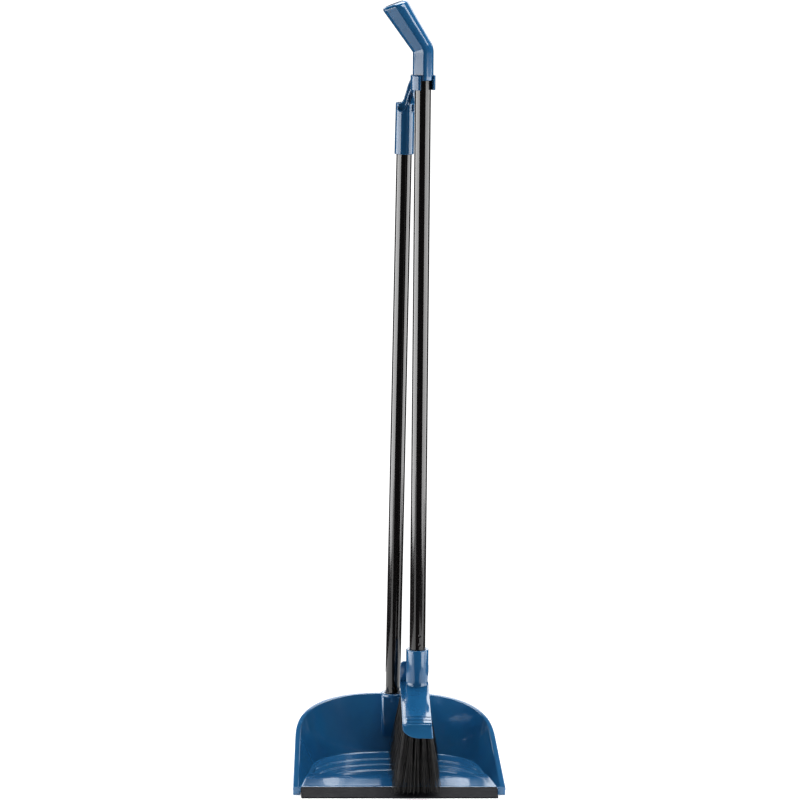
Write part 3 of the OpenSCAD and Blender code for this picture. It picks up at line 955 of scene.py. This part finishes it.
def build_head():
    """The head with the shield at its heel and the ferrule that the brush's tube stands in."""
    shape = Shape()
    shape.loft([head_ring(y) for y in head_rows()], ON_HEAD)
    low, high = SHIELD_LOW, SHIELD_TOP
    outline = [(-HEAD_HALF, low), (HEAD_HALF, low), (HEAD_HALF, high), (-HEAD_HALF, high)]
    outline = rounded_outline(outline, [0, 0, 6.0, 6.0], 14)
    upright = ON_HEAD @ Matrix.Translation((0, HEAD_HEEL, 0)) @ Matrix.Rotation(math.pi / 2, 4, "X")
    slab(shape, outline, 0.0, SHIELD_T, 0.8, upright, 4)
    r, bore, top, low = FERRULE_R, FERRULE_BORE, FERRULE_TOP, FERRULE_LOW
    profile = [(bore, BRUSH_TUBE_ENDS[0]), (bore, top - 1.0), (bore + 0.5, top - 0.3), (bore + 1.1, top)]
    profile += [(r - 1.0, top), (r - 0.4, top - 0.2), (r - 0.1, top - 0.6), (r, top - 1.1)]
    profile += [(r, low + 7.0), (r + 0.05, low + 5.0), (r + 0.3, low + 4.0), (r + 0.3, low), (bore, low)]
    shape.lathe(profile, ON_BRUSH_TUBE, 128, solid=False)
    return shape.build("brush_head_moulding", 40)


# ---- Parts taken from the CAD solid, with their edges softened ----


# The clip's strap seen from the front, [x, height]: round its lower end and up the right, then down the left
STRAP_RIGHT = [(-6.0, 792.5), (-5.2, 788.4), (-2.4, 786.2), (1.4, 788.3), (3.9, 792.6)]
STRAP_RIGHT += [(5.2, 797.2), (6.7, 804.5), (8.2, 809.2), (10.0, 813.6), (12.0, 819.0)]
STRAP_LEFT = [(11.0, 824.5), (7.9, 824.0), (6.1, 819.4), (4.7, 814.7), (3.6, 810.0)]
STRAP_LEFT += [(2.4, 805.3), (1.2, 800.6), (-0.8, 797.0), (-4.4, 795.8)]
STRAP_BEAD_R = 1.1


def strap_y(z):
    """How far back the strap's front lies at a height: on the cap's front, then forward to the clip."""
    return 175.2 - 11.0 * ease(z, 790, 828)


def clip_strap():
    """The strap that carries the clip: a tongue on the cap's front, with a raised edge on its right."""
    shape = Shape()
    outline = rounded_outline(STRAP_RIGHT + STRAP_LEFT, [1.2] * len(STRAP_RIGHT + STRAP_LEFT), 3)
    flat = np.array(outline)
    run = np.roll(flat, -1, 0) - np.roll(flat, 1, 0)
    run /= np.linalg.norm(run, axis=1)[:, None]
    inward = np.stack([-run[:, 1], run[:, 0]], 1)
    rings = []
    for inset, depth in ((0.7, 0.0), (0.2, 0.2), (0.0, 0.7), (0.0, 5.0)):
        moved = flat + inward * inset
        rings.append([(x, strap_y(z) + depth, z) for x, z in moved])
    shape.loft(rings, FROM_LIP)
    path = np.array(STRAP_RIGHT)
    fine = []
    for i in range(len(path) * 5 - 4):
        t = i / 5
        fine.append([np.interp(t, range(len(path)), path[:, k]) for k in (0, 1)])
    fine = np.array(fine)
    for _ in range(3):
        fine[1:-1] = (fine[:-2] + 2 * fine[1:-1] + fine[2:]) / 4
    along = np.gradient(fine, axis=0)
    along /= np.linalg.norm(along, axis=1)[:, None]
    beads = []
    for (x, z), (ax, az) in zip(fine, along):
        bead = []
        for t in circle(12):
            out, back = STRAP_BEAD_R * math.cos(t), STRAP_BEAD_R * math.sin(t)
            bead.append((x - az * out, strap_y(z) + back, z + ax * out))
        beads.append(bead)
    shape.loft(beads, FROM_LIP)
    return shape.mesh("clip_strap")


def softened(name, node, voxel, rounds, extra):
    """A fresh skin over a copy of a CAD node's mesh and one more solid, with small round edges."""
    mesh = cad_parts[node].data.copy()
    mesh.name = name
    both = bmesh.new()
    both.from_mesh(mesh)
    both.from_mesh(extra)
    both.to_mesh(mesh)
    both.free()
    piece = bpy.data.objects.new(name, mesh)
    bpy.context.scene.collection.objects.link(piece)
    remesh = piece.modifiers.new("skin", "REMESH")
    remesh.mode = "VOXEL"
    remesh.voxel_size = voxel * MM
    remesh.use_smooth_shade = True
    smooth = piece.modifiers.new("soften", "SMOOTH")
    smooth.factor = 0.5
    smooth.iterations = rounds
    graph = bpy.context.evaluated_depsgraph_get()
    skin = bpy.data.meshes.new_from_object(piece.evaluated_get(graph))
    bpy.data.objects.remove(piece)
    skin.name = name
    out = bpy.data.objects.new(name, skin)
    bpy.context.scene.collection.objects.link(out)
    for polygon in skin.polygons:
        polygon.use_smooth = True
    return out


# ---- Bristles ----

TUFT_ROWS = 14
TUFTS_ACROSS = 5
TUFT_PITCH = 6.9
TUFT_SHIFT = 0.7
ROW_FIRST, ROW_LAST = -144.0, 8.0
TUFT_R = 2.45
TIP_FLARE = 4.2
BRISTLE_LEN = 64.0
SPREAD = 0.55
TOE_REACH = 6.0
HEEL_CLEAR = 155.0
TIP_GAP = 0.7
STRANDS = 74
STRAND_STEPS = 6
STRAND_R = 0.16
STRAND_TAPER = 0.45
HOLE_DEPTH = 2.5
STRAY = 0.014
CURL = 0.45
UNEVEN = 0.8


def under_z(x):
    """Height of the head's rounded underside at a distance across it."""
    if x > HEAD_SQUARE:
        return 0.0
    return HEAD_ROUND_Z * (1 - math.sqrt(max(0.0, 1 - ((HEAD_SQUARE - x) / HEAD_ROUND_X) ** 2)))


def ground(y):
    """Height of whatever lies under a bristle's tip: the lip, the pan's floor or its back wall."""
    if y < 0:
        h = LIP_EDGE_T
    elif y < LIP_DEPTH:
        h = lip_top(y)
    else:
        h = FLOOR_H + STEP_COUNT * STEP_H * min(1.0, (y - LIP_DEPTH) / (RIDGE_Y - LIP_DEPTH))
    if y > HEEL_CLEAR:
        h = max(h, FLOOR_H + STEP_COUNT * STEP_H + (y - HEEL_CLEAR) * 2)
    return h + TIP_GAP


TO_LIP = FROM_LIP.inverted() @ ON_HEAD


def build_tufts(row_index, rng):
    """All the bristles of one row: thin tapering strands that fan out from their holes."""
    shape = Shape()
    y0 = ROW_FIRST + (ROW_LAST - ROW_FIRST) * row_index / (TUFT_ROWS - 1)
    for j in range(TUFTS_ACROSS):
        off = (j - (TUFTS_ACROSS - 1) / 2) * TUFT_PITCH
        x0 = off + TUFT_SHIFT
        lean = Vector((SPREAD * off, -TOE_REACH * max(0.0, 2 * y0 / ROW_FIRST - 1), 0)) / BRISTLE_LEN
        for s in range(STRANDS):
            a = rng.random() * 2 * math.pi
            q = math.sqrt(rng.random())
            off_axis = q * (TUFT_R - 0.25)
            root = Vector((x0 + off_axis * math.cos(a), y0 + off_axis * math.sin(a), 0))
            root.z = under_z(root.x) + HOLE_DEPTH
            flare = TIP_FLARE * q * (0.5 + rng.random()) / BRISTLE_LEN
            side = Vector((math.cos(a), math.sin(a), 0)) * flare
            jitter = Vector((rng.gauss(0, 1), rng.gauss(0, 1), 0)) * STRAY
            way = Vector((0, 0, -1)) + lean + side + jitter
            length = trim_length(root, way, rng)
            curl = Vector((rng.gauss(0, 1), rng.gauss(0, 1), 0)) * CURL
            radius = STRAND_R + 0.05 * rng.random()
            strand(shape, root, way, length, curl, radius, rng.random() * 2)
    return shape.build("bristles_row_%02d" % (row_index + 1), 75)


def trim_length(root, way, rng):
    """How far a strand runs before it reaches what is under it."""
    low, high = 5.0, 90.0
    gap = abs(rng.gauss(0, UNEVEN))
    for _ in range(22):
        mid = (low + high) / 2
        p = TO_LIP @ (root + way * mid)
        if p.z > ground(p.y) + gap:
            low = mid
        else:
            high = mid
    return low


def strand(shape, root, way, length, curl, radius, turn):
    """One bristle: a thin three-sided rod that tapers and bends."""
    points = []
    for i in range(STRAND_STEPS + 1):
        t = i / STRAND_STEPS
        centre = root + way * (length * t) + curl * (t * t * (1 - 0.3 * t))
        r = radius * (1 - STRAND_TAPER * t)
        for k in range(3):
            a = turn + 2 * math.pi * k / 3
            points.append((centre.x + r * math.cos(a), centre.y + r * math.sin(a), centre.z))
    faces = []
    for i in range(STRAND_STEPS):
        for k in range(3):
            a, b = i * 3 + k, i * 3 + (k + 1) % 3
            faces.append([a, a + 3, b + 3, b])
    last = STRAND_STEPS * 3
    faces.append([0, 1, 2])
    faces.append([last + 2, last + 1, last])
    shape.add(points, faces, ON_HEAD)


# ---- Assembly ----


def build_all():
    """Builds every piece, and gives the nodes that stay as the CAD made them their materials."""
    piece_done(build_pan(), "dust_pan", "blue_plastic", "pan_shell")
    piece_done(build_lip(), "dust_pan", "black_rubber", "rubber_lip")
    tube = build_tube("pan_tube_steel", ON_PAN_TUBE, PAN_TUBE_D, PAN_TUBE_ENDS, PAN_TUBE_DIMPLES)
    piece_done(tube, "dust_pan", "black_tube", "pan_tube")
    tube = build_tube("brush_tube_steel", ON_BRUSH_TUBE, BRUSH_TUBE_D, BRUSH_TUBE_ENDS, BRUSH_TUBE_DIMPLES)
    piece_done(tube, "brush", "black_tube", "brush_tube")
    piece_done(build_grip(), "brush", "blue_plastic", "brush_grip")
    cap = softened("handle_cap_moulding", "handle_cap", 0.4, 6, clip_strap())
    piece_done(cap, "dust_pan", "blue_plastic", "handle_cap")
    piece_done(build_head(), "brush", "blue_plastic", "brush_head")
    rng = random.Random(7)
    for i in range(TUFT_ROWS):
        piece_done(build_tufts(i, rng), "brush", "bristle", "tuft_row_%02d" % (i + 1))
    for node, slot_name in (
        ("pan_tube_plug", "plug_plastic"),
        ("brush_tube_plug", "plug_plastic"),
        ("tuft_anchors", "anchor_wire"),
    ):
        dress(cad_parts[node], slot_name)


# ---- Studio ----

ROOM_GLOW = 0.06
BACKDROP_GLOW = 1.8

# The floor sheet: its apex, the sides of the wedge left open in front, its reach, and where it reaches far
FLOOR_APEX = (0.02, -0.14)
FLOOR_LEFT, FLOOR_RIGHT = math.radians(270 - 42), math.radians(-90 + 30)
FLOOR_NEAR, FLOOR_FAR = 0.64, 1.7
FLOOR_LEFT_FAR = FLOOR_LEFT - 0.52
FLOOR_RIGHT_FAR = (-0.2, 0.3)
FLOOR_PARTS = 96

# Name, place, aim, width, height and power of each light
SOFTBOXES = (
    ("left_panel", (-2.1, -0.25, 0.24), (0, 0, 0.24), 3.0, 0.9, 34),
    ("right_panel", (2.05, -0.6, 0.24), (0, 0, 0.24), 3.0, 0.9, 29),
    ("upper_panel", (0.78, -0.4, 1.45), (0, 0, 0.89), 0.7, 0.4, 4.2),
    ("top_panel", (0, 0.5, 2.3), (0, 0.1, 0), 1.8, 0.9, 40),
)

# The camera: its turn, what it looks at in millimetres from the lip's edge, its distance and its lens
VIEW_YAW, VIEW_PITCH, VIEW_ROLL = (math.radians(a) for a in (3.264, 9.5, 0.92))
VIEW_AT = (1.073, 150, 445.76)
VIEW_DISTANCE = 4.0
SENSOR = 36
FOCAL_IN_WIDTHS = 3368 / 800


def floor_material():
    n = Nodes("studio_floor")
    cloud = n.noise(3.0, 3.0)
    return n.set(
        Base_Color=n.blend(n.spread(cloud, 0.3, 0.7), (0.86, 0.86, 0.86, 1), (0.9, 0.9, 0.9, 1)),
        Roughness=0.6,
        Specular_IOR_Level=0.2,
        Emission_Color=(1.0, 1.0, 1.0, 1.0),
        Emission_Strength=0.38,
    )


def build_floor():
    """A pale sheet, open in front where the room stays dark, that reaches further out on two sides."""
    mesh = bpy.data.meshes.new("studio_floor")
    verts = [(*FLOOR_APEX, 0.0)]
    n = FLOOR_PARTS
    for part in (0.4, 0.7, 1.0):
        for i in range(n + 1):
            t = FLOOR_RIGHT + (FLOOR_LEFT - FLOOR_RIGHT) * i / n
            far = t > FLOOR_LEFT_FAR or FLOOR_RIGHT_FAR[0] < t < FLOOR_RIGHT_FAR[1]
            r = part * (FLOOR_FAR if far else FLOOR_NEAR)
            verts.append((FLOOR_APEX[0] + r * math.cos(t), FLOOR_APEX[1] + r * math.sin(t), 0.0))
    faces = [(0, 1 + i, 2 + i) for i in range(n)]
    for ring in (1, n + 2):
        faces += [(ring + i, ring + n + 1 + i, ring + n + 2 + i, ring + 1 + i) for i in range(n)]
    mesh.from_pydata(verts, [], faces)
    floor = bpy.data.objects.new("studio_floor", mesh)
    bpy.context.scene.collection.objects.link(floor)
    mesh.materials.append(floor_material())


def softbox(name, place, aim, width, height, power):
    light = bpy.data.lights.new(name, "AREA")
    light.shape = "RECTANGLE"
    light.size = width
    light.size_y = height
    light.energy = power
    lamp = bpy.data.objects.new(name, light)
    lamp.location = place
    lamp.rotation_euler = (Vector(aim) - Vector(place)).to_track_quat("-Z", "Y").to_euler()
    bpy.context.scene.collection.objects.link(lamp)


def build_world():
    """White to the camera; to light and reflections, a dim room with a bright backdrop behind the set."""
    world = bpy.data.worlds.new("studio")
    world.use_nodes = True
    tree = world.node_tree

    def node(kind, inputs, **settings):
        made = tree.nodes.new(kind)
        for key, value in settings.items():
            setattr(made, key, value)
        for key, value in inputs.items():
            if isinstance(value, bpy.types.NodeSocket):
                tree.links.new(value, made.inputs[key])
            else:
                made.inputs[key].default_value = value
        return made.outputs

    def window(value, low, high, to_low=0.0, to_high=1.0):
        inputs = {"Value": value, "From Min": low, "From Max": high, "To Min": to_low, "To Max": to_high}
        return node("ShaderNodeMapRange", inputs, interpolation_type="SMOOTHSTEP")["Result"]

    way = node("ShaderNodeTexCoord", {})["Generated"]
    parts = node("ShaderNodeSeparateXYZ", {0: way})
    behind = window(parts["Y"], 0.5, 0.8)
    lower = window(parts["Z"], 0.1, 0.2)
    upper = window(parts["Z"], 0.5, 0.65, 1.0, 0.0)
    band = node("ShaderNodeMath", {0: lower, 1: upper}, operation="MULTIPLY")[0]
    band = node("ShaderNodeMath", {0: band, 1: behind}, operation="MULTIPLY")[0]
    glow = window(band, 0.0, 1.0, ROOM_GLOW, BACKDROP_GLOW)
    seen = node("ShaderNodeLightPath", {})["Is Camera Ray"]
    strength = node("ShaderNodeMix", {"Factor": seen, "A": glow, "B": 1.0})["Result"]
    back = tree.nodes["Background"]
    tree.links.new(strength, back.inputs["Strength"])
    back.inputs["Color"].default_value = (1, 1, 1, 1)
    bpy.context.scene.world = world


def build_camera():
    """The photograph's view: a long lens, a little left of the middle, looking slightly down."""
    level = math.cos(VIEW_PITCH)
    back = Vector((-math.sin(VIEW_YAW) * level, -math.cos(VIEW_YAW) * level, math.sin(VIEW_PITCH)))
    right = (-back).cross(Vector((0, 0, 1))).normalized()
    up = right.cross(-back)
    side = right * math.cos(VIEW_ROLL) + up * math.sin(VIEW_ROLL)
    top = up * math.cos(VIEW_ROLL) - right * math.sin(VIEW_ROLL)
    camera = bpy.data.cameras.new("camera")
    camera.sensor_width = SENSOR
    camera.lens = FOCAL_IN_WIDTHS * SENSOR
    camera.clip_end = 100
    eye = bpy.data.objects.new("camera", camera)
    turn = Matrix((side, top, back)).transposed().to_4x4()
    eye.matrix_world = Matrix.Translation(row_point(VIEW_AT) + back * VIEW_DISTANCE) @ turn
    bpy.context.scene.collection.objects.link(eye)
    bpy.context.scene.camera = eye


build_all()
build_floor()
build_world()
build_camera()
for box in SOFTBOXES:
    softbox(*box)
bpy.context.scene.view_settings.view_transform = "Standard"
bpy.context.scene.view_settings.look = "Medium High Contrast"
